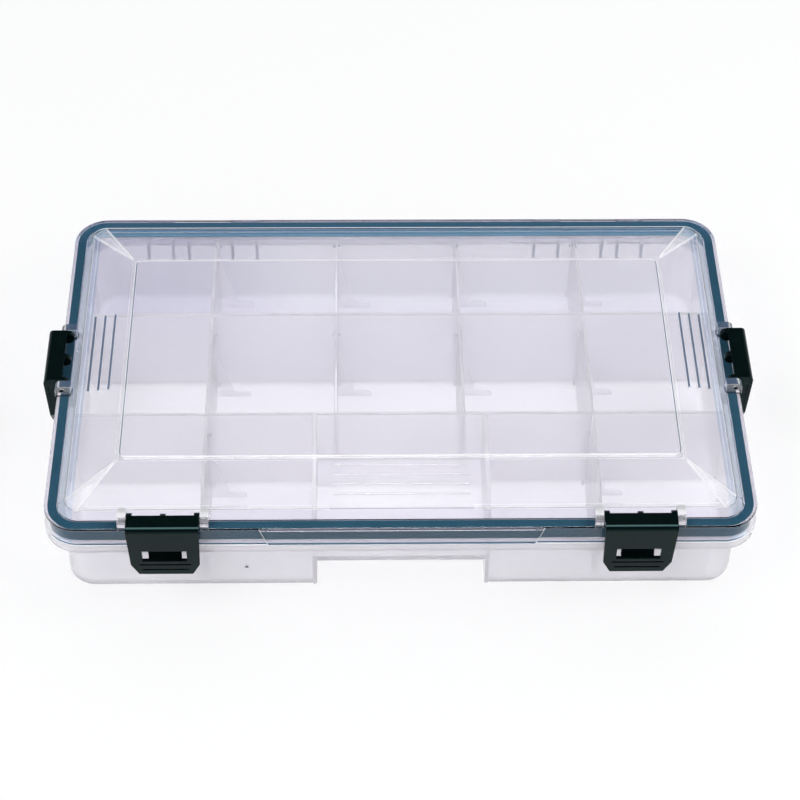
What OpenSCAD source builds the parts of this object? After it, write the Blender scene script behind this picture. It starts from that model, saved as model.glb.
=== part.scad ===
// Flat hinged box with a clear sealed lid, four latches and fifteen compartments.
// Millimetres. +X is the width, +Y the hinge side, +Z up. The origin is on the ground,
// under the middle of the lid's rim.

/* [Lid rim] */
// Width of the lid across its rim
rim_w = 355; // [320:5:400]
// Depth of the lid across its rim
rim_d = 222; // [205:1:250]
// Corner radius of the rim in plan
rim_r = 17.5; // [16:0.5:24]
// Height of the rim's top face above the ground
rim_h = 56; // [52:0.5:75]
// Thickness of the lid's rim and skirt
lid_wall = 1.7; // [1.5:0.1:2]
// Height of the skirt, from the rim's top face down
skirt_h = 11.5; // [11:0.5:14]
// Radius of the rim's outer top edge
rim_round = 1.2; // [0.6:0.1:1.5]

/* [Lid top] */
// Distance from the rim's outline to the foot of the shoulder
shoulder_in = 7; // [6.5:0.5:8]
// How far the shoulder runs inwards
shoulder_run = 3.5; // [3:0.5:4]
// How far the shoulder rises
shoulder_rise = 3.4; // [3:0.1:4]
// Rise of the sloping faces from the shoulder to the panel
slope_rise = 3.6; // [3:0.1:6]
// Thickness of the lid's top
top_wall = 2; // [1.6:0.1:2.4]
// Distance from the rim's ends to the raised panel
panel_end_in = 35.25; // [32:0.25:55]
// Distance from the rim's long sides to the raised panel
panel_side_in = 39.85; // [35:0.05:50]
// Corner radius of the raised panel
panel_r = 4.5; // [3:0.5:10]
// Height of the panel's edge step
panel_step = 0.75; // [0.4:0.05:1.5]
// Width of the bevel around the panel
panel_bevel = 1.5; // [0.5:0.1:2.5]
// Width of the flat ledge around the panel
panel_ledge = 1.2; // [0.4:0.1:2]
// How much further in the flat facets at the top's corners run than the round shoulder
corner_cut = 1.9; // [0:0.1:2]

/* [Lid ribs] */
// Radius of the ribs on the sloping faces
rib_r = 0.7; // [0.5:0.1:1]
// Number of ribs on each end slope
side_ribs = 3; // [1:1:3]
// Pitch of the ribs on the end slopes
side_rib_pitch = 5.35; // [3:0.05:6]
// Distance from the panel's edge to the first end rib
side_rib_start = 7.9; // [5:0.1:9]
// Length of the ribs on the end slopes
side_rib_l = 54; // [20:1:70]
// How far the middle of the ribs on the end slopes is behind the panel's middle
side_rib_back = 3.9; // [0:0.1:6]
// Number of ribs on the front slope
front_ribs = 4; // [1:1:4]
// Pitch of the ribs on the front slope
front_rib_pitch = 5.65; // [3:0.05:6]
// Distance from the panel's edge to the first front rib
front_rib_start = 4.1; // [3:0.1:6]
// Length of the ribs on the front slope
front_rib_l = 67.6; // [30:0.2:100]
// Width of the thumb lip where it starts on the skirt
lip_top_w = 140; // [80:1:150]
// Width of the thumb lip at the bottom of the skirt
lip_bottom_w = 133; // [70:1:145]
// How far the thumb lip stands out of the skirt
lip_out = 0.6; // [0.3:0.1:1.2]

/* [Seal] */
// Width of the gasket
gasket_w = 4.3; // [3.8:0.1:4.4]
// Height of the gasket
gasket_h = 7.7; // [5:0.1:8]
// Side gap between the gasket and its channel
gasket_gap = 0.15; // [0.1:0.05:0.2]
// Thickness of the rib inside the gasket
channel_wall = 0.7; // [0.6:0.1:0.8]
// Depth of the gasket's channel below the rim
channel_h = 4.5; // [3.5:0.1:5]
// Thickness of the base's sealing tongue
tongue_w = 1.8; // [1:0.1:2.4]
// Gap between the tongue and the gasket
seal_gap = 0.3; // [0.2:0.05:0.6]

/* [Base shell] */
// Distance from the rim's outline to the outside of the base wall
base_in = 7.6; // [7.5:0.1:9]
// Corner radius of the base in plan
base_r = 14; // [12:0.5:18]
// Thickness of the base wall
base_wall = 2; // [1.6:0.1:2.4]
// Thickness of the floor
floor_t = 2; // [1.6:0.1:3]
// Radius of the bottom's outer edge
base_round = 4; // [2:0.5:5]
// Radius between the floor and the walls inside
floor_round = 4; // [1:0.5:4.5]
// How far the base wall's top is below the rim's top face
wall_drop = 8; // [2.4:0.1:9]
// Gap between the lid's skirt and the base's flange
parting_gap = 0.4; // [0.3:0.1:0.8]
// Thickness of the flange and of its lip
flange_t = 2; // [1.6:0.1:2.4]
// Height of the flange's lip
flange_h = 4.75; // [3.5:0.25:7]
// How far the flange stands out past the lid's rim
flange_out = 0.7; // [0:0.1:0.8]

/* [Compartments] */
// Thickness of the fixed partitions
partition_t = 2; // [1.4:0.1:2.4]
// How far the partitions rise above the rim's top face
partition_rise = 1; // [0:0.1:1]
// Distance from the rim's ends to where the long partitions reach full height
partition_in = 11.5; // [11.5:0.5:16]
// Distance from the rim's sides to where the short partitions and dividers reach full height
divider_in = 26; // [16:0.5:36]
// Clear depth of the rear row
rear_row_d = 66.3; // [50:0.1:70]
// Clear depth of the middle row
middle_row_d = 69.2; // [50:0.1:72]
// Number of compartments in the rear and middle rows
columns = 5; // [5:1:5]
// How much wider the two end compartments are, together
end_extra = 4.8; // [0:0.1:10]
// Width of the finger recess under the front row
recess_w = 85.4; // [60:0.2:110]
// Height of the finger recess
recess_h = 21.2; // [12:0.1:26]
// Radius on the bottom edges beside the finger recess
recess_round = 2.4; // [1:0.1:3]

/* [Dividers] */
// Thickness of a divider
divider_t = 1.4; // [1:0.1:1.8]
// Gap at each end of a divider and below it
divider_gap = 0.3; // [0.2:0.1:0.8]
// Gap between a divider and each rib of its slot
slot_gap = 0.25; // [0.15:0.05:0.5]
// Thickness of a slot rib
slot_rib_t = 1; // [0.8:0.1:1.4]
// How far the slot ribs' tops are below the base wall's top
slot_drop = 5; // [2:0.5:10]
// How far a slot rib stands out of its wall
slot_rib_out = 1.6; // [1:0.1:3]
// Distance from a divider's rear end to its stay
stay_in = 7; // [4:0.5:20]
// Height of a divider's stay
stay_h = 39; // [20:1:42]
// Width of the stay's slope at the foot
stay_w = 10; // [6:0.5:12]
// Width of the stay's foot
foot_w = 19; // [13:0.5:22]
// Height of the stay's foot
foot_h = 3.5; // [2:0.5:8]
// Thickness of the stay
stay_t = 1.2; // [0.8:0.1:1.6]

/* [Latches] */
// Distance from the rim's ends to the middle of a front latch
latch_end = 60.2; // [50:0.1:75]
// Width between the two ears that carry a latch
latch_gap = 36.4; // [34:0.2:40]
// Gap between a latch and each ear
latch_play = 0.3; // [0.2:0.1:0.5]
// Thickness of an ear
ear_t = 4.2; // [3:0.1:5]
// Length of an ear's top, in from the pivot
ear_back = 5; // [3.5:0.1:5]
// Distance from the rim's outline in to the latch pivot
pivot_in = 3; // [2.8:0.1:3.5]
// Height of the latch pivot above the rim's top face
pivot_rise = 4; // [4:0.1:4.1]
// Radius of the latch pivots
pivot_r = 1.2; // [1:0.1:1.4]
// Radial clearance of a latch pivot in its ear
pivot_clear = 0.05; // [0.02:0.01:0.1]
// Radius of the ear around the pivot
ear_r = 3.6; // [3:0.1:3.7]
// Radius of the latch's end knuckles
knuckle_r = 3.6; // [2.8:0.1:3.6]
// Distance from the rim's outline out to the latch's outer face
latch_out = 6.6; // [6.2:0.1:8]
// Radius of the bend between the latch's top and its flap
bend_r = 2.6; // [1.5:0.1:3]
// How far the flap leans back in towards its bottom edge
flap_lean = 1; // [0:0.1:1.2]
// How much narrower each side of the flap gets towards its bottom edge
flap_taper = 0.8; // [0:0.1:1.5]
// Distance from the rim's top face down to the latch's bottom edge
latch_drop = 28; // [27:0.5:31]
// Width of the cuts at the flap's bottom corners
flap_cut_w = 4; // [2:0.5:6]
// Height of the cuts at the flap's bottom corners
flap_cut_h = 7.7; // [4:0.1:8]
// Thickness of the latch's flap
flap_t = 2; // [1.6:0.1:2.2]
// Thickness of the webs at the latch's ends
web_t = 1.6; // [1.2:0.1:2]
// Width of the window in the flap
window_w = 22; // [18:0.5:26]
// Height of the window in the flap
window_h = 8.5; // [5:0.1:9]
// Width of the catch tongue behind the window
catch_w = 16.5; // [10:0.5:18]
// Gap between the catch tongue and the flange's lip
catch_gap = 0.6; // [0.5:0.1:0.8]
// How far the catch tongue's root reaches below the flange's lip
catch_below = 3.2; // [2.6:0.1:4]

/* [Hinges] */
// Distance from the rim's ends to the middle of a hinge
hinge_end = 69.2; // [60:0.1:90]
// Width of a hinge over all its knuckles
hinge_w = 62.2; // [40:0.2:70]
// Width of the lid's knuckle
lid_knuckle_w = 31; // [16:0.5:36]
// Gap between neighbouring knuckles
knuckle_gap = 0.4; // [0.3:0.1:0.8]
// Radius of the hinge knuckles
hinge_r = 3.5; // [3:0.1:3.8]
// Gap between the flange's lip and the lid's hinge knuckles
hinge_gap = 0.3; // [0.3:0.1:1.5]
// Radius of the hinge pins
pin_r = 1.5; // [1:0.1:1.8]
// Radial clearance of a pin in the lid's knuckle
pin_clear = 0.06; // [0.02:0.01:0.1]
// Radial clearance of a pin in the base's knuckles
pin_grip = 0.01; // [0.01:0.01:0.05]
// Thickness of the ribs under the hinges
hinge_rib_t = 1.5; // [1:0.1:2]
// Height of the ribs under the hinges
hinge_rib_h = 12.5; // [8:0.5:16]

/* [Hidden] */
$fn = 64;
lap = 0.5; // how deep joined solids run into each other

// Lid levels and lines
parting_z = rim_h - skirt_h;
rim_under = rim_h - lid_wall;
shoulder_top = rim_h + shoulder_rise;
shoulder_end = shoulder_in + shoulder_run;
shoulder_r = rim_r - shoulder_end;
ledge_end = shoulder_end + 2.8;
dome_in = shoulder_end + 0.6;
dome_cut = (2 - sqrt(2)) * shoulder_r + corner_cut;
panel_base = shoulder_top + slope_rise;
panel_w = rim_w - 2 * panel_end_in;
panel_d = rim_d - 2 * panel_side_in;
slope_run_x = panel_end_in - dome_in;
slope_run_y = panel_side_in - dome_in;
channel_in = lid_wall + gasket_w + 2 * gasket_gap;

// Base levels and lines
base_w = rim_w - 2 * base_in;
base_d = rim_d - 2 * base_in;
inner_w = base_w - 2 * base_wall;
inner_d = base_d - 2 * base_wall;
wall_top = rim_h - wall_drop;
flange_top = parting_z - parting_gap;
partition_top = rim_h + partition_rise;
// Each row is [front face, rear face] of its clear depth
rear_row = [inner_d / 2 - rear_row_d, inner_d / 2];
middle_row = [rear_row[0] - partition_t - middle_row_d, rear_row[0] - partition_t];
front_row = [-inner_d / 2, middle_row[0] - partition_t];
column_pitch = (inner_w - end_extra) / columns;
divider_top = partition_top - 0.4;

// Latch and hinge lines, out from the rim and up from the rim's top face
latch_x = rim_w / 2 - latch_end;
hinge_x = rim_w / 2 - hinge_end;
latch_w = latch_gap - 2 * latch_play;
latch_crown = pivot_rise + knuckle_r;
flap_out = latch_out - flap_lean;
catch_in = flange_out + catch_gap;
catch_top = -skirt_h + 4.5;
catch_bottom = -skirt_h - parting_gap - flange_h - catch_below;
base_knuckle_w = (hinge_w - lid_knuckle_w) / 2 - knuckle_gap;
hinge_out = flange_out + hinge_gap + hinge_r;

function column_x(i) = (i - (columns - 2) / 2) * column_pitch;

module rounded_rect(w, d, r) {
    square([w - 2 * r, d], center = true);
    square([w, d - 2 * r], center = true);
    for (x = [-1, 1], y = [-1, 1])
        translate([x * (w / 2 - r), y * (d / 2 - r)]) circle(r);
}

// Sweeps a profile around a rounded rectangle. The profile's x is the distance in from
// the outline, up to the corner radius r, and its y is the height.
module around(w, d, r) {
    for (turn = [0:3]) {
        across = turn % 2 == 0 ? w : d;
        deep = turn % 2 == 0 ? d : w;
        rotate(90 * turn) translate([0, -deep / 2, 0]) {
            translate([r - across / 2, 0, 0]) rotate([90, 0, 90])
                linear_extrude(across - 2 * r) children();
            translate([across / 2 - r, r, 0]) rotate(-90)
                rotate_extrude(angle = 90) translate([r, 0]) mirror([1, 0]) children();
        }
    }
}

// A block with rounded corners in plan and a rolled bottom edge
module pan(w, d, r, edge, h) {
    translate([0, 0, edge]) linear_extrude(h - edge) rounded_rect(w, d, r);
    linear_extrude(h) rounded_rect(w - 2 * edge, d - 2 * edge, r - edge);
    around(w, d, r) translate([edge, edge]) circle(edge);
}

// Stands a profile of x out and y up on edge, as a slab of the given width along X
module slab(width) {
    translate([-width / 2, 0, 0]) rotate([90, 0, 90]) linear_extrude(width) children();
}

module at_hinges() {
    for (x = [-hinge_x, hinge_x]) translate([x, rim_d / 2, parting_z]) children();
}

// A latch's place: y out from the rim, z up from its top face
module at_front_latch(x) {
    translate([x, -rim_d / 2, rim_h]) rotate(180) children();
}

module at_side_latch(side) {
    translate([side * rim_w / 2, 0, rim_h]) rotate(-90 * side) children();
}

module at_latches() {
    for (x = [-latch_x, latch_x]) at_front_latch(x) children();
    for (side = [-1, 1]) at_side_latch(side) children();
}

// ---- Lid ----

// Skirt, rim, gasket channel and shoulder, as distance in from the outline and height
module rim_profile() {
    riser = norm([shoulder_run, shoulder_rise]);
    slope = shoulder_rise / shoulder_run;
    inner_top = shoulder_top - lid_wall;
    shift = lid_wall * riser / shoulder_rise;
    inner_foot = shoulder_in + shift - lid_wall / slope;
    inner_end = inner_foot + (inner_top - rim_under) / slope;
    channel_out = channel_in + channel_wall;
    intersection() {
        translate([rim_round, rim_h - rim_round]) circle(rim_round);
        translate([0, rim_h - rim_round]) square(rim_round);
    }
    polygon([
        [0, parting_z], [0, rim_h - rim_round], [rim_round, rim_h], [shoulder_in, rim_h],
        [shoulder_end, shoulder_top], [ledge_end, shoulder_top],
        [ledge_end, inner_top], [inner_end, inner_top], [inner_foot, rim_under],
        [channel_out, rim_under], [channel_out, rim_under - channel_h],
        [channel_in, rim_under - channel_h], [channel_in, rim_under],
        [lid_wall, rim_under], [lid_wall, parting_z]]);
}

// A slab of the dome: a rectangle set in from the rim's outline, with its corners cut
module dome_slab(inset, cut, z, h) {
    w = rim_w - 2 * inset;
    d = rim_d - 2 * inset;
    translate([0, 0, z]) linear_extrude(h) {
        square([w - 2 * cut, d], center = true);
        square([w, d - 2 * cut], center = true);
    }
}

// The sloping faces, which meet the panel's sharp corners in four flat facets
module dome() {
    thin = 0.1;
    root = lid_wall - thin / 2;
    deep = 3;
    foot_in = ledge_end - dome_in;
    difference() {
        hull() {
            dome_slab(dome_in, dome_cut, shoulder_top - root, root);
            translate([0, 0, panel_base - thin]) linear_extrude(thin)
                square([panel_w + 2 * panel_ledge, panel_d + 2 * panel_ledge], center = true);
        }
        hull() {
            dome_slab(ledge_end, dome_cut - (2 - sqrt(2)) * foot_in,
                shoulder_top - lid_wall - deep, deep);
            translate([0, 0, panel_base - top_wall - thin]) linear_extrude(thin)
                square([panel_w, panel_d], center = true);
        }
    }
}

module panel() {
    root = 0.4;
    translate([0, 0, panel_base]) {
        around(panel_w, panel_d, panel_r)
            polygon([[0, -root], [0, 0.05], [panel_bevel, panel_step],
                [panel_r, panel_step], [panel_r, -root]]);
        translate([panel_r - panel_w / 2, panel_r - panel_d / 2, -root])
            cube([panel_w - 2 * panel_r, panel_d - 2 * panel_r, root + panel_step]);
    }
}

module slope_ribs() {
    sunk = rib_r / 3;
    for (side = [-1, 1], i = [0:side_ribs - 1]) {
        out = side_rib_start + i * side_rib_pitch;
        translate([side * (panel_w / 2 + out), side_rib_back,
                panel_base - slope_rise * out / slope_run_x - sunk])
            rotate([90, 0, 0]) cylinder(h = side_rib_l, r = rib_r, center = true);
    }
    for (i = [0:front_ribs - 1]) {
        out = front_rib_start + i * front_rib_pitch;
        translate([0, -panel_d / 2 - out, panel_base - slope_rise * out / slope_run_y - sunk])
            rotate([0, 90, 0]) cylinder(h = front_rib_l, r = rib_r, center = true);
    }
}

// A shallow lip on the front of the skirt, wider at its top
module thumb_lip() {
    at_front_latch(0) rotate([90, 0, 180]) translate([0, 0, -lap])
        linear_extrude(lap + lip_out)
            polygon([[-lip_bottom_w / 2, -skirt_h], [lip_bottom_w / 2, -skirt_h],
                [lip_top_w / 2, -rim_round], [-lip_top_w / 2, -rim_round]]);
}

// Two ears that rise from the shoulder and carry a latch's pivots
module latch_ears() {
    for (side = [-1, 1])
        translate([side * (latch_gap + ear_t) / 2, 0, 0]) slab(ear_t) difference() {
            union() {
                translate([-pivot_in, pivot_rise]) circle(ear_r);
                polygon([[-pivot_in - ear_back, pivot_rise + ear_r],
                    [-pivot_in, pivot_rise + ear_r], [ear_r - pivot_in, pivot_rise],
                    [ear_r - pivot_in, 0], [-lap, -lid_wall], [-pivot_in - ear_back, -lap]]);
            }
            translate([-pivot_in, pivot_rise]) circle(pivot_r + pivot_clear);
        }
}

module lid_knuckle() {
    slab(lid_knuckle_w) difference() {
        union() {
            translate([hinge_out, 0]) circle(hinge_r);
            translate([-lap, 0]) square([hinge_out + lap, hinge_r]);
        }
        translate([hinge_out, 0]) circle(pin_r + pin_clear);
    }
}

module lid_shell() {
    color([0.86, 0.87, 0.94, 0.35]) {
        around(rim_w, rim_d, rim_r) rim_profile();
        dome();
        panel();
        slope_ribs();
        thumb_lip();
        at_latches() latch_ears();
        at_hinges() lid_knuckle();
    }
}

module lid_gasket() {
    soft = 0.8;
    color([0.24, 0.42, 0.50])
        around(rim_w, rim_d, rim_r) translate([lid_wall + gasket_gap, rim_under - gasket_h]) {
            translate([0, soft]) square([gasket_w, gasket_h - soft]);
            translate([soft, 0]) square([gasket_w - 2 * soft, soft + lap]);
            for (x = [soft, gasket_w - soft]) translate([x, soft]) circle(soft);
        }
}

// ---- Latches ----

// The latch's top and flap from the side: x out from the rim, y up from its top face
module flap_profile() {
    under = latch_crown - flap_t;
    inner_bend = 1.5;
    translate([latch_out - bend_r, latch_crown - bend_r]) circle(bend_r);
    polygon([[-pivot_in, latch_crown], [latch_out - bend_r, latch_crown],
        [latch_out, latch_crown - bend_r], [flap_out, -latch_drop],
        [flap_out - flap_t, -latch_drop], [latch_out - flap_t, under - inner_bend],
        [latch_out - flap_t - inner_bend, under], [-pivot_in, under]]);
}

// A web that closes the latch's end between the flap and the lid's skirt
module web_profile() {
    sunk = 0.3;
    chamfer = 1;
    low = flap_cut_h - latch_drop;
    polygon([[-pivot_in, latch_crown - sunk], [latch_out - bend_r, latch_crown - sunk],
        [latch_out - sunk, latch_crown - bend_r], [flap_out - sunk, low],
        [flap_out - flap_t, low], [catch_in, -skirt_h], [catch_in, 0],
        [catch_in - chamfer, pivot_rise - knuckle_r + sunk], [-pivot_in, pivot_rise - knuckle_r + sunk]]);
}

// The flap from the front, narrowing downwards, with its bottom corners cut back
module flap_outline() {
    half = latch_w / 2;
    low_half = half - flap_taper;
    bend = latch_crown - bend_r;
    cut_top = flap_cut_h - latch_drop;
    end = -latch_drop - lap;
    polygon([[-half, latch_crown + lap], [half, latch_crown + lap], [half, bend],
        [low_half, cut_top], [low_half - flap_cut_w, end],
        [flap_cut_w - low_half, end], [-low_half, cut_top], [-half, bend]]);
}

// The tongue behind the window, which the flange's lip lies against
module catch_tongue() {
    root_h = 2.2;
    tip_t = 1.3;
    tip_cut = 0.4;
    heel = [0.9, 1.8];
    slab(catch_w) polygon([[catch_in, catch_top], [catch_in + tip_t, catch_top + tip_cut],
        [catch_in + tip_t, catch_bottom + root_h], [flap_out - flap_t + lap, catch_bottom + root_h],
        [flap_out - flap_t + lap, catch_bottom], [catch_in + heel[0], catch_bottom],
        [catch_in, catch_bottom + heel[1]]]);
}

module latch() {
    window_bottom = catch_bottom + 2.3;
    grooves = [[25.8, 7.9], [22.8, 3.9]]; // width and height above the bottom edge of each
    groove_h = 1.2;
    groove_in = 0.6;
    knuckle_w = 2.6;
    middle_less = 0.4;
    pivot_l = ear_t + knuckle_w - lap;
    color([0.16, 0.20, 0.20]) {
        difference() {
            intersection() {
                union() {
                    slab(latch_w) flap_profile();
                    for (side = [-1, 1])
                        translate([side * (latch_w / 2 - flap_taper - web_t / 2), 0, 0])
                            slab(web_t) web_profile();
                }
                rotate([90, 0, 0]) linear_extrude(6 * latch_out, center = true) flap_outline();
            }
            translate([-window_w / 2, flap_out - flap_t - lap, window_bottom])
                cube([window_w, 3 * flap_t, window_h]);
            for (groove = grooves)
                translate([-groove[0] / 2, flap_out - groove_in,
                        groove[1] - latch_drop - groove_h / 2])
                    cube([groove[0], flap_out, groove_h]);
        }
        catch_tongue();
        for (side = [-1, 0, 1])
            translate([side * (latch_w - knuckle_w) / 2, 0, 0]) slab(knuckle_w)
                translate([-pivot_in, pivot_rise]) circle(side == 0 ? knuckle_r - middle_less : knuckle_r);
        for (side = [-1, 1])
            translate([side * (latch_gap / 2 + ear_t - lap - pivot_l / 2), -pivot_in, pivot_rise])
                rotate([0, 90, 0]) cylinder(h = pivot_l, r = pivot_r, center = true);
    }
}

// ---- Base ----

// A partition across the box: full height inside, sloping down to the outer wall
module partition_profile(length, full_in) {
    end = length / 2 - base_in - base_wall / 2;
    full = length / 2 - full_in;
    low = wall_top - 0.2;
    polygon([[-end, lap], [-end, low], [-full, partition_top],
        [full, partition_top], [end, low], [end, lap]]);
}

// The two long partitions, with a round fillet on the floor each side
module long_partitions() {
    for (y = [rear_row[0] - partition_t, front_row[1]]) {
        translate([0, y + partition_t, 0]) rotate([90, 0, 0]) linear_extrude(partition_t)
            partition_profile(rim_w, partition_in);
        for (side = [0, 1])
            translate([0, y + side * partition_t, floor_t]) mirror([0, 1 - side, 0])
                slab(inner_w + lap) difference() {
                    translate([-lap, -lap]) square(floor_round + lap);
                    translate([floor_round, floor_round]) circle(floor_round);
                }
    }
}

// The two short partitions beside the finger recess and the raised floor over it
module recess_box() {
    intersection() {
        for (side = [-1, 1]) translate([side * (recess_w + partition_t) / 2, 0, 0])
            slab(partition_t) partition_profile(rim_d, divider_in);
        translate([-rim_w / 2, -rim_d / 2, 0])
            cube([rim_w, rim_d / 2 + front_row[1] + lap, partition_top]);
    }
    translate([-recess_w / 2 - lap, front_row[0] - lap, recess_h])
        cube([recess_w + 2 * lap, front_row[1] - front_row[0] + 2 * lap, floor_t]);
}

// The space under the raised floor, open at the front and below
module recess_void() {
    half = recess_w / 2;
    translate([0, front_row[1], 0]) rotate([90, 0, 0])
        linear_extrude(front_row[1] + rim_d / 2) {
            translate([-half, -1]) square([recess_w, recess_h + 1]);
            for (side = [0, 1]) mirror([side, 0]) difference() {
                translate([half - lap, -1]) square([recess_round + lap, recess_round + 1]);
                translate([half + recess_round, recess_round]) circle(recess_round);
            }
        }
}

// Pairs of ribs that hold the ends of one divider
module slot_ribs(row, x, floor_z) {
    low = floor_z - lap;
    high = wall_top - slot_drop;
    for (side = [-1, 1], end = [0, 1])
        translate([x + side * (divider_t / 2 + slot_gap + slot_rib_t / 2) - slot_rib_t / 2,
                row[end] - (end == 0 ? lap : slot_rib_out), low])
            cube([slot_rib_t, slot_rib_out + lap, high - low]);
}

module all_slot_ribs() {
    for (i = [0:columns - 2]) {
        slot_ribs(rear_row, column_x(i), floor_t);
        slot_ribs(middle_row, column_x(i), floor_t);
    }
    for (i = [0, columns - 2]) slot_ribs(front_row, column_x(i), floor_t);
}

// The flange, its lip and the sealing tongue
module flange() {
    flange_w = rim_w + 2 * flange_out;
    flange_d = rim_d + 2 * flange_out;
    flange_r = rim_r + flange_out;
    hole_w = inner_w + base_wall;
    hole_d = inner_d + base_wall;
    tongue_in = lid_wall + gasket_gap + (gasket_w - tongue_w) / 2;
    tongue_top = rim_under - gasket_h - seal_gap;
    translate([0, 0, flange_top - flange_t]) linear_extrude(flange_t) difference() {
        rounded_rect(flange_w, flange_d, flange_r);
        rounded_rect(hole_w, hole_d, base_r - base_wall / 2);
    }
    around(flange_w, flange_d, flange_r)
        translate([0, flange_top - flange_h]) square([flange_t, flange_h]);
    around(rim_w, rim_d, rim_r)
        translate([tongue_in, flange_top - lap]) square([tongue_w, tongue_top - flange_top + lap]);
}

module base_knuckles() {
    for (side = [-1, 1])
        translate([side * (hinge_w - base_knuckle_w) / 2, 0, 0])
            slab(base_knuckle_w) difference() {
                union() {
                    translate([hinge_out, 0]) circle(hinge_r);
                    translate([-lap, -hinge_r])
                        square([hinge_out + lap, hinge_r - parting_gap - lap]);
                }
                translate([hinge_out, 0]) circle(pin_r + pin_grip);
            }
}

// Three pairs of ribs between the base wall and the flange's lip
module hinge_ribs() {
    under = -parting_gap - flange_t + lap;
    for (side = [-1, 1], x = [lid_knuckle_w / 4, lid_knuckle_w / 2 + hinge_rib_t / 2 + knuckle_gap,
            (hinge_w - hinge_rib_t) / 2])
        translate([side * x, 0, 0]) slab(hinge_rib_t)
            polygon([[-base_in - lap, under], [-flange_t / 2, under],
                [-flange_t / 2, -parting_gap - flange_h], [-base_in - lap, under - hinge_rib_h]]);
}

module base_tray() {
    color([0.87, 0.88, 0.92]) difference() {
        union() {
            difference() {
                pan(base_w, base_d, base_r, base_round, wall_top);
                translate([0, 0, floor_t])
                    pan(inner_w, inner_d, base_r - base_wall, floor_round, wall_top);
            }
            long_partitions();
            recess_box();
            all_slot_ribs();
            flange();
            at_hinges() base_knuckles();
            at_hinges() hinge_ribs();
        }
        recess_void();
    }
}

module hinge_pin(side) {
    color([0.70, 0.71, 0.73])
        translate([side * hinge_x, rim_d / 2 + hinge_out, parting_z])
            rotate([0, 90, 0]) cylinder(h = hinge_w - 1, r = pin_r, center = true);
}

// ---- Dividers ----

// A divider from the side: its corners clear the floor's fillets, and its top slopes down
// to an outer wall
module divider_profile(row) {
    front = row[0] + divider_gap;
    rear = row[1] - divider_gap;
    low = floor_t + divider_gap;
    cut = floor_round + divider_gap;
    slope = (divider_top - wall_top) / (divider_in - base_in - base_wall);
    full = rim_d / 2 - divider_in;
    front_full = max(front, -full);
    rear_full = min(rear, full);
    polygon([[front + cut, low], [rear - cut, low], [rear, low + cut],
        [rear, divider_top - (rear - rear_full) * slope], [rear_full, divider_top],
        [front_full, divider_top], [front, divider_top - (front_full - front) * slope],
        [front, low + cut]]);
}

// The stay that steadies a divider's rear end: a sloped web with a low foot
module stay() {
    cut = min(1.5, foot_h / 2);
    rotate([90, 0, 0]) linear_extrude(stay_t)
        polygon([[-divider_t / 2, 0], [foot_w, 0], [foot_w, foot_h - cut], [foot_w - cut, foot_h],
            [stay_w, foot_h], [divider_t / 2, stay_h], [-divider_t / 2, stay_h]]);
}

module divider(row, x) {
    color([0.90, 0.91, 0.94]) {
        translate([x, 0, 0]) slab(divider_t) divider_profile(row);
        translate([x, row[1] - divider_gap - stay_in, floor_t + divider_gap]) stay();
    }
}

base_tray();
lid_shell();
lid_gasket();
at_front_latch(-latch_x) latch();  // latch_front_left
at_front_latch(latch_x) latch();  // latch_front_right
at_side_latch(-1) latch();  // latch_left
at_side_latch(1) latch();  // latch_right
hinge_pin(-1);  // hinge_pin_left
hinge_pin(1);  // hinge_pin_right
divider(rear_row, column_x(0));  // divider_rear_1
divider(rear_row, column_x(1));  // divider_rear_2
divider(rear_row, column_x(2));  // divider_rear_3
divider(rear_row, column_x(3));  // divider_rear_4
divider(middle_row, column_x(0));  // divider_middle_1
divider(middle_row, column_x(1));  // divider_middle_2
divider(middle_row, column_x(2));  // divider_middle_3
divider(middle_row, column_x(3));  // divider_middle_4
divider(front_row, column_x(0));  // divider_front_1
divider(front_row, column_x(columns - 2));  // divider_front_2
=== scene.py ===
import math
import bmesh
import bpy
from mathutils import Matrix, Vector


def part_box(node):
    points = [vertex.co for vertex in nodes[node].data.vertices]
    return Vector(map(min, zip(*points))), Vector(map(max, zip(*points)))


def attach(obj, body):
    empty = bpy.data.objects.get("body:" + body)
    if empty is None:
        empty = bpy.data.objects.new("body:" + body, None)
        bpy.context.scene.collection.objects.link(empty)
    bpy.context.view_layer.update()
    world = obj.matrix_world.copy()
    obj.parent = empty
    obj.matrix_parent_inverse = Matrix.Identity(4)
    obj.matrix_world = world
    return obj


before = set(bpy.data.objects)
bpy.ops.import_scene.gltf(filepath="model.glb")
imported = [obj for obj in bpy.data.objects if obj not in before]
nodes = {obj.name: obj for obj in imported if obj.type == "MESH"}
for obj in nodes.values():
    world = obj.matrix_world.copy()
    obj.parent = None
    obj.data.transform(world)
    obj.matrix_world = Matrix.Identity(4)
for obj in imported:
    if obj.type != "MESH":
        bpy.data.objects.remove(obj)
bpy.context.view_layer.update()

scene = bpy.context.scene


# ---- Camera ----

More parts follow.
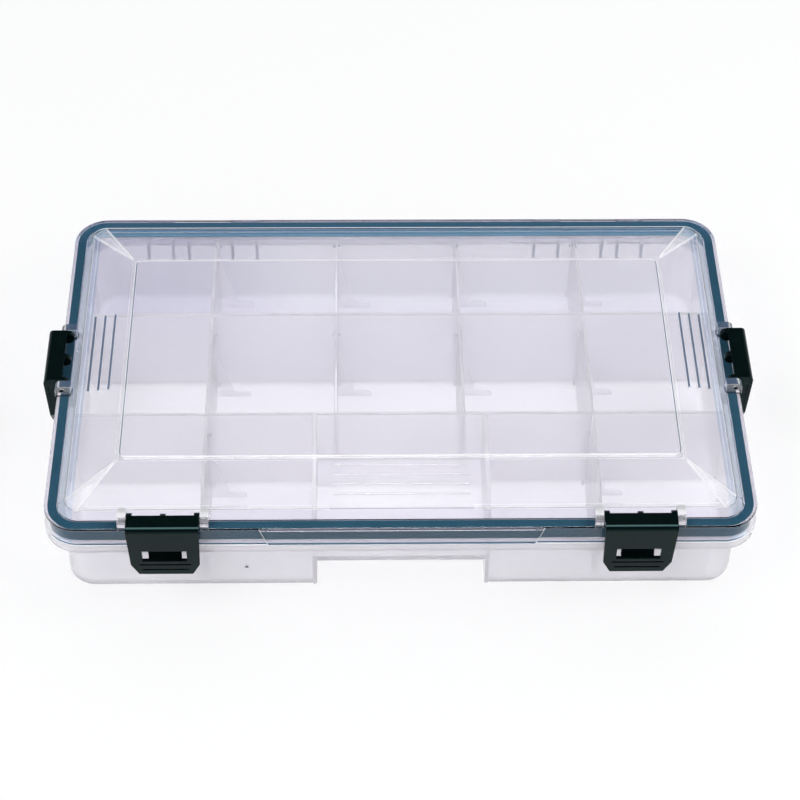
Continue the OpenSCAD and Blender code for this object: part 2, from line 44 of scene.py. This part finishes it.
def add_camera():
    """The photograph's viewpoint, given as place, yaw, pitch, roll and focal length."""
    place = (-0.0210276, -0.7816952, 0.894235)
    yaw, pitch, roll = (math.radians(a) for a in (1.614, 47.945, 0.944))
    focal_px, frame_px, sensor = 2179.955, 800, 36
    forward = Vector((math.sin(yaw) * math.cos(pitch), math.cos(yaw) * math.cos(pitch), -math.sin(pitch)))
    level = Vector((math.cos(yaw), -math.sin(yaw), 0))
    raised = level.cross(forward)
    right = math.cos(roll) * level + math.sin(roll) * raised
    up = math.cos(roll) * raised - math.sin(roll) * level
    data = bpy.data.cameras.new("camera")
    data.sensor_width = sensor
    data.lens = focal_px * sensor / frame_px
    data.clip_start, data.clip_end = 0.01, 50
    camera = bpy.data.objects.new("camera", data)
    camera.matrix_world = Matrix((
        (right.x, up.x, -forward.x, place[0]),
        (right.y, up.y, -forward.y, place[1]),
        (right.z, up.z, -forward.z, place[2]),
        (0, 0, 0, 1)))
    scene.collection.objects.link(camera)
    scene.camera = camera


# ---- Node helpers ----

class Tree:
    """A short way to write a node tree."""

    def __init__(self, tree):
        self.tree = tree
        tree.nodes.clear()

    def add(self, kind, inputs=None, **settings):
        node = self.tree.nodes.new(kind)
        for key, value in settings.items():
            setattr(node, key, value)
        for key, value in (inputs or {}).items():
            if isinstance(value, bpy.types.NodeSocket):
                self.tree.links.new(value, node.inputs[key])
            else:
                node.inputs[key].default_value = value
        return node

    def math(self, operation, a, b=0.0):
        return self.add("ShaderNodeMath", {0: a, 1: b}, operation=operation).outputs[0]

    def size(self, value):
        return self.math("ABSOLUTE", value)


def material(name):
    m = bpy.data.materials.new(name)
    m.use_nodes = True
    return m, Tree(m.node_tree)


def split(t, vector):
    return t.add("ShaderNodeSeparateXYZ", {0: vector}).outputs


def object_place(t, scale=(1, 1, 1)):
    coords = t.add("ShaderNodeTexCoord").outputs["Object"]
    return t.add("ShaderNodeMapping", {"Vector": coords, "Scale": scale}).outputs[0]


def object_normal(t):
    return split(t, t.add("ShaderNodeTexCoord").outputs["Normal"])


def noise(t, place, scale, detail):
    return t.add("ShaderNodeTexNoise", {"Vector": place, "Scale": scale, "Detail": detail}).outputs[0]


def ramp(t, value, lo, hi, a=0.0, b=1.0):
    limits = {"Value": value, "From Min": lo, "From Max": hi, "To Min": a, "To Max": b}
    return t.add("ShaderNodeMapRange", limits).outputs[0]


def tinted(t, paint, mask, colour):
    mix = t.add("ShaderNodeMix", {"Factor": mask, 6: paint, 7: (*colour, 1)}, data_type="RGBA")
    return mix.outputs[2]


def soft_edges(t, radius):
    return t.add("ShaderNodeBevel", {"Radius": radius}, samples=4).outputs[0]


def bump(t, height, distance, strength, normal=None):
    inputs = {"Height": height, "Distance": distance, "Strength": strength}
    if normal is not None:
        inputs["Normal"] = normal
    return t.add("ShaderNodeBump", inputs).outputs[0]


# ---- Masks: 1 where something is, 0 elsewhere ----

def both(t, *masks):
    found = masks[0]
    for mask in masks[1:]:
        found = t.math("MULTIPLY", found, mask)
    return found


def either(t, *masks):
    found = masks[0]
    for mask in masks[1:]:
        found = t.math("MAXIMUM", found, mask)
    return found


def beyond(t, value, limit, soft=0.0002):
    return ramp(t, value, limit, limit + soft)


def short_of(t, value, limit, soft=0.0002):
    return ramp(t, value, limit, limit - soft)


def between(t, value, lo, hi, soft=0.0001):
    return both(t, beyond(t, value, lo, soft), short_of(t, value, hi, soft))


def moulded_edges(t, radius):
    """Where the rounded normal leaves the true one."""
    least, most = 0.0002, 0.004
    own = t.add("ShaderNodeNewGeometry").outputs["Normal"]
    same = t.add("ShaderNodeVectorMath", {0: soft_edges(t, radius), 1: own}, operation="DOT_PRODUCT")
    return ramp(t, t.size(same.outputs["Value"]), 1 - least, 1 - most)


def seen(t, *rays):
    """The named kinds of ray look at the background, and the rest bring light."""
    path = t.add("ShaderNodeLightPath")
    return either(t, *[path.outputs[ray] for ray in rays])


# ---- Details by place on the part, in metres from its middle ----

def end_rib_lines(t, across, y, height):
    """The lines of the ribs on the lid's end slopes."""
    first, pitch, half = 0.15015, 0.00535, 0.0005
    beside = t.math("PINGPONG", t.math("SUBTRACT", across, first), pitch / 2)
    return both(t, short_of(t, beside, half), between(t, across, 0.1494, 0.1618),
                between(t, y, -0.0230, 0.0308), beyond(t, height, 0.0598))


def panel_bevel(t, across, along, height):
    """The upper edge of the bevel around the panel, the bevel's ends, and its lower half there."""
    foot, middle, top = 0.0630, 0.06342, 0.06374
    ends = both(t, beyond(t, across, 0.1402, 0.0004), short_of(t, along, 0.0690, 0.0004))
    lower = both(t, between(t, height, foot, 0.06345), ends)
    return between(t, height, middle, top), ends, lower


def corner_facets(t, across, along, height):
    """The two ridges that start at each of the panel's corners, and the facet between them."""
    def off_line(slope_x, slope_y, offset):
        run = t.math("MULTIPLY", across, slope_x)
        return t.math("SUBTRACT", t.math("SUBTRACT", run, t.math("MULTIPLY", along, slope_y)), offset)

    first = off_line(0.852, 0.524, 0.08431)
    second = off_line(0.6845, 0.729, 0.04545)
    corner = both(t, beyond(t, across, 0.1434), beyond(t, along, 0.0722), beyond(t, height, 0.0572),
                  short_of(t, across, 0.1666), short_of(t, along, 0.1001))
    nearest = t.math("MINIMUM", t.size(first), t.size(second))
    ridges = both(t, short_of(t, nearest, 0.0005), corner)
    return ridges, both(t, beyond(t, first, 0.0), short_of(t, second, 0.0), corner)


def lip_ends(t, across, y, height):
    """The slanted ends of the thumb lip on the skirt."""
    low_z, low_half, slant = 0.0445, 0.0665, 0.34
    end = t.math("ADD", t.math("MULTIPLY", t.math("SUBTRACT", height, low_z), slant), low_half)
    return both(t, short_of(t, t.size(t.math("SUBTRACT", across, end)), 0.0005), short_of(t, y, -0.1106))


def lid_detail(t, place, paint, see_through):
    """Edges above the rim get painted highlights where they are level and painted shade where they face an end
    or the hinges.
    The panel's bevel, the corner ridges and facets and the lip's ends get painted highlights, the bevel's ends
    and the rib lines painted shade. The latch ears, outside the shoulder, are slightly cloudy, and the shoulder
    is painted in the gasket's colour as seen through it."""
    white, painted_shade_tone, outer, painted_gasket_blue = (1, 1, 1), (0.10, 0.15, 0.24), (0.86, 0.85, 0.91), (0.74, 0.81, 0.90)
    faint, marked_see_through = 0.35, 0.38
    x, y, height = split(t, place)
    across, along = t.size(x), t.size(y)
    facing = object_normal(t)
    steep = either(t, t.size(facing[0]), t.math("MULTIPLY", facing[1], 0.7))

    front_ribs = both(t, short_of(t, y, -0.0722, 0.0005), short_of(t, across, 0.0360, 0.0005))
    ears = both(t, either(t, beyond(t, along, 0.1032), beyond(t, across, 0.1697)), beyond(t, height, 0.0574))
    edges = both(t, moulded_edges(t, 0.0007), beyond(t, height, 0.0562),
                 ramp(t, either(t, front_ribs, ears), 0, 1, 1, faint))
    crest, bevel_ends, bevel_foot = panel_bevel(t, across, along, height)
    ridges, facets = corner_facets(t, across, along, height)

    # Painted highlights, together with the latch ears' slight cloudiness
    light = either(t, edges, crest, bevel_foot, t.math("MULTIPLY", ridges, 0.8),
                   t.math("MULTIPLY", facets, 0.22), t.math("MULTIPLY", ears, 0.3),
                   t.math("MULTIPLY", lip_ends(t, across, y, height), 0.8))
    # Painted shade on the rib lines, the bevel's ends and the steep edges
    shaded = either(t, end_rib_lines(t, across, y, height), both(t, crest, bevel_ends),
                    both(t, edges, ramp(t, steep, 0.12, 0.32)))
    ring = either(t, beyond(t, along, 0.0998, 0.0004), beyond(t, across, 0.1663, 0.0004))
    # The shoulder is painted in the gasket's colour as seen through it
    shoulder = either(t, between(t, across, 0.1625, 0.1712), between(t, y, 0.0975, 0.1040))
    for mask, colour in ((ring, outer), (shoulder, painted_gasket_blue), (light, white), (shaded, painted_shade_tone)):
        paint = tinted(t, paint, mask, colour)
    return paint, ramp(t, either(t, light, shaded), 0, 1, see_through, marked_see_through)


def base_detail(t, place, paint, see_through):
    """Painted shade towards the hinges, strongest at the left end, and painted shade in bars over the ribs
    under the hinges, behind the rear wall, where the plastic is also made less clear.
    """
    rear_shade_tone, bar_shade_tone, bar_see_through = (0.74, 0.73, 0.81), (0.30, 0.34, 0.44), 0.25
    x, y, height = split(t, place)
    # Painted shade towards the hinges, strongest at the left end
    rear = both(t, ramp(t, y, 0.03, 0.10), ramp(t, x, -0.05, -0.12, 0.45, 1.0))
    # Painted shade over the ribs under the hinges, which are also made less clear
    bars = both(t, between(t, y, 0.1035, 0.1096), short_of(t, height, 0.0416))
    paint = tinted(t, tinted(t, paint, rear, rear_shade_tone), bars, bar_shade_tone)
    return paint, ramp(t, bars, 0, 1, see_through, bar_see_through)


def gasket_detail(t, place, paint):
    """Painted shade on the upright sides, and a paler tone towards the hinge side."""
    upright_shade_tone, hinge_side_tone = (0.030, 0.095, 0.135), (0.16, 0.40, 0.56)
    # Painted shade on the upright sides
    upright = ramp(t, t.size(object_normal(t)[2]), 0.6, 0.3)
    hinge_side = ramp(t, split(t, place)[1], 0.09, 0.104)
    return tinted(t, tinted(t, paint, upright, upright_shade_tone), hinge_side, hinge_side_tone)


# ---- Materials ----

def two_tone(t, place, scale, first, second):
    """A slow drift between two colours."""
    return tinted(t, (*first, 1), ramp(t, noise(t, place, scale, 4.0), 0.35, 0.7), second)


def lets_lamps_in(t, shader, tint):
    """Clear plastic that passes lamp light straight through, so what is under it stays lit."""
    path = t.add("ShaderNodeLightPath")
    clear = t.add("ShaderNodeBsdfTransparent", {"Color": (*tint, 1)})
    mix = t.add("ShaderNodeMixShader", {0: path.outputs["Is Shadow Ray"], 1: shader, 2: clear.outputs[0]})
    return mix.outputs[0]


def clear_plastic(name, colour, shadow, see_through, shine, ior, wave, gloss=1.0, detail=None):
    """Moulded clear plastic: slightly wavy, with a fine drift in its gloss."""
    second_tone = 0.985
    m, t = material(name)
    place = object_place(t)
    normal = bump(t, noise(t, place, 26, 1.0), 0.0015, wave)
    normal = bump(t, noise(t, place, 700, 2.0), 0.00002, 0.15, normal)
    rough = ramp(t, noise(t, place, 60, 3.0), 0.35, 0.75, *shine)
    paint = two_tone(t, place, 14, colour, [c * second_tone for c in colour])
    if detail:
        paint, see_through = detail(t, place, paint, see_through)
    body = t.add("ShaderNodeBsdfPrincipled", {
        "Base Color": paint, "Roughness": rough, "IOR": ior, "Transmission Weight": see_through,
        "Specular Tint": (gloss, gloss, gloss, 1), "Normal": normal})
    t.add("ShaderNodeOutputMaterial", {"Surface": lets_lamps_in(t, body.outputs[0], shadow)})
    return m


def dull(name, tones, scale, shine, grain, specular, edge, sheen=(1, 1, 1), detail=None):
    """Rubber or black plastic: two close tones, fine grain and softened edges."""
    m, t = material(name)
    place = object_place(t)
    normal = bump(t, noise(t, place, grain, 2.0), 0.00003, 0.35, soft_edges(t, edge))
    rough = ramp(t, noise(t, place, 2 * scale, 3.0), 0.3, 0.7, *shine)
    paint = two_tone(t, place, scale, *tones)
    if detail:
        paint = detail(t, place, paint)
    body = t.add("ShaderNodeBsdfPrincipled", {
        "Base Color": paint, "Roughness": rough,
        "Specular IOR Level": specular, "Specular Tint": (*sheen, 1), "Normal": normal})
    t.add("ShaderNodeOutputMaterial", {"Surface": body.outputs[0]})
    return m


def pin_steel():
    """Drawn wire, streaked along the pins."""
    m, t = material("pin_steel")
    streak = noise(t, object_place(t, (0.05, 1, 1)), 3000, 2.0)
    body = t.add("ShaderNodeBsdfPrincipled", {
        "Base Color": (0.62, 0.63, 0.65, 1), "Metallic": 1.0,
        "Roughness": ramp(t, streak, 0.3, 0.7, 0.22, 0.4), "Normal": bump(t, streak, 0.00002, 0.3)})
    t.add("ShaderNodeOutputMaterial", {"Surface": body.outputs[0]})
    return m


def dress_nodes():
    """Each CAD node takes the look whose name its own name starts with."""
    looks = {
        "lid_shell": clear_plastic(
            "clear_lid", colour=(0.965, 0.965, 0.985), shadow=(0.965, 0.965, 0.98), see_through=1.0,
            shine=(0.01, 0.03), ior=1.45, wave=0.02, gloss=0.35, detail=lid_detail),
        "base_tray": clear_plastic(
            "clear_base", colour=(0.945, 0.935, 0.957), shadow=(0.955, 0.95, 0.965), see_through=0.66,
            shine=(0.17, 0.23), ior=1.30, wave=0.05, detail=base_detail),
        "divider": clear_plastic(
            "clear_divider", colour=(0.955, 0.95, 0.965), shadow=(0.96, 0.96, 0.97), see_through=0.78,
            shine=(0.16, 0.22), ior=1.16, wave=0.05),
        "lid_gasket": dull(
            "seal_rubber", tones=((0.100, 0.310, 0.440), (0.115, 0.345, 0.480)), scale=45,
            shine=(0.45, 0.62), grain=2200, specular=0.15, edge=0.0004, detail=gasket_detail),
        "latch": dull(
            "latch_plastic", tones=((0.0016, 0.0052, 0.0054), (0.0024, 0.0070, 0.0070)), scale=120,
            shine=(0.09, 0.14), grain=2600, specular=0.16, edge=0.00035, sheen=(0.5, 0.95, 0.97)),
        "hinge_pin": pin_steel()}
    for name, obj in nodes.items():
        look = next(looks[start] for start in looks if name.startswith(start))
        for slot in obj.material_slots:
            slot.material = look


# ---- Small moulded marks ----

def add_gate_mark():
    """The round mark that the mould's gate leaves on the base's front wall: a low ring around a dimple."""
    flange_out = 0.0083
    wall_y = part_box("base_tray")[0][1] + flange_out
    # Each ring's radius, and how far it stands out of the wall
    rings = ((0.00030, 0.00002), (0.00050, 0.00012), (0.00078, 0.00012), (0.00095, -0.00010))
    sides = 24
    turns = [2 * math.pi * i / sides for i in range(sides)]
    mesh = bpy.data.meshes.new("gate_mark")
    b = bmesh.new()
    loops = [[b.verts.new((radius * math.cos(a), -proud, radius * math.sin(a))) for a in turns]
             for radius, proud in rings]
    for inner, outer in zip(loops, loops[1:]):
        for i in range(sides):
            b.faces.new((inner[i - 1], inner[i], outer[i], outer[i - 1]))
    b.faces.new(loops[0])
    b.faces.new(loops[-1])
    bmesh.ops.recalc_face_normals(b, faces=b.faces)
    b.to_mesh(mesh)
    b.free()
    mark = bpy.data.objects.new("gate_mark", mesh)
    mark.location = (-0.0782, wall_y, 0.0163)
    scene.collection.objects.link(mark)
    mesh.materials.append(dull(
        "gate_plastic", tones=((0.16, 0.15, 0.19), (0.20, 0.19, 0.23)), scale=300,
        shine=(0.3, 0.4), grain=4000, specular=0.4, edge=0.0001))
    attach(mark, "base")


# ---- Stage ----

def add_world():
    """Soft light all round, a white background, and for gloss a dim room with a bright ceiling panel."""
    daylight = (0.97, 0.98, 1.0, 1)
    world = bpy.data.worlds.new("studio")
    scene.world = world
    world.use_nodes = True
    t = Tree(world.node_tree)
    _, away, height = split(t, t.add("ShaderNodeTexCoord").outputs["Generated"])
    walls = both(t, ramp(t, height, 0.1, 0.6, 1.0, 0.06), ramp(t, away, -0.2, 0.2, 0.3, 1.0))
    ceiling = ramp(t, height, 0.925, 0.955, 0.0, 12.0)
    room = t.add("ShaderNodeBackground", {"Color": daylight, "Strength": t.math("ADD", walls, ceiling)})
    light = t.add("ShaderNodeBackground", {"Color": daylight, "Strength": 0.66})
    white = t.add("ShaderNodeBackground", {"Color": (1, 1, 1, 1), "Strength": 1.0})
    inner = t.add("ShaderNodeMixShader", {0: seen(t, "Is Glossy Ray"), 1: light.outputs[0], 2: room.outputs[0]})
    mix = t.add("ShaderNodeMixShader", {
        0: seen(t, "Is Camera Ray", "Is Transmission Ray"), 1: inner.outputs[0], 2: white.outputs[0]})
    t.add("ShaderNodeOutputWorld", {"Surface": mix.outputs[0]})


def add_floor():
    """A pale floor just under the part, which shows as white and keeps the part's shadow."""
    half, drop = 12.0, 0.0003
    mesh = bpy.data.meshes.new("floor")
    corners = [(-half, -half, 0), (half, -half, 0), (half, half, 0), (-half, half, 0)]
    mesh.from_pydata(corners, [], [(0, 1, 2, 3)])
    floor = bpy.data.objects.new("floor", mesh)
    floor.location.z = -drop
    scene.collection.objects.link(floor)
    m, t = material("floor")
    matte = t.add("ShaderNodeBsdfDiffuse", {"Color": (0.60, 0.60, 0.60, 1)})
    faint = t.add("ShaderNodeBsdfDiffuse", {"Color": (0.50, 0.50, 0.50, 1)})
    glow = t.add("ShaderNodeEmission", {"Color": (1, 1, 1, 1), "Strength": 0.54})
    lit = t.add("ShaderNodeAddShader", {0: faint.outputs[0], 1: glow.outputs[0]})
    looked_at = seen(t, "Is Camera Ray", "Is Glossy Ray", "Is Transmission Ray")
    mix = t.add("ShaderNodeMixShader", {0: looked_at, 1: matte.outputs[0], 2: lit.outputs[0]})
    t.add("ShaderNodeOutputMaterial", {"Surface": mix.outputs[0]})
    mesh.materials.append(m)


def add_lamp(name, place, size, power):
    """A soft rectangular lamp that faces the part's middle."""
    aim = Vector((0, 0, 0.03))
    data = bpy.data.lights.new(name, "AREA")
    data.shape = "RECTANGLE"
    data.size, data.size_y = size
    data.energy = power
    lamp = bpy.data.objects.new(name, data)
    lamp.location = place
    lamp.rotation_euler = (aim - lamp.location).to_track_quat("-Z", "Y").to_euler()
    lamp.visible_camera = False
    scene.collection.objects.link(lamp)


add_camera()
scene.view_settings.view_transform = "Standard"
add_world()
add_floor()
add_lamp("key", place=(-1.0, -0.9, 1.7), size=(1.2, 1.0), power=9.5)
add_lamp("fill", place=(1.3, -0.3, 1.3), size=(1.0, 1.0), power=7)
dress_nodes()
add_gate_mark()
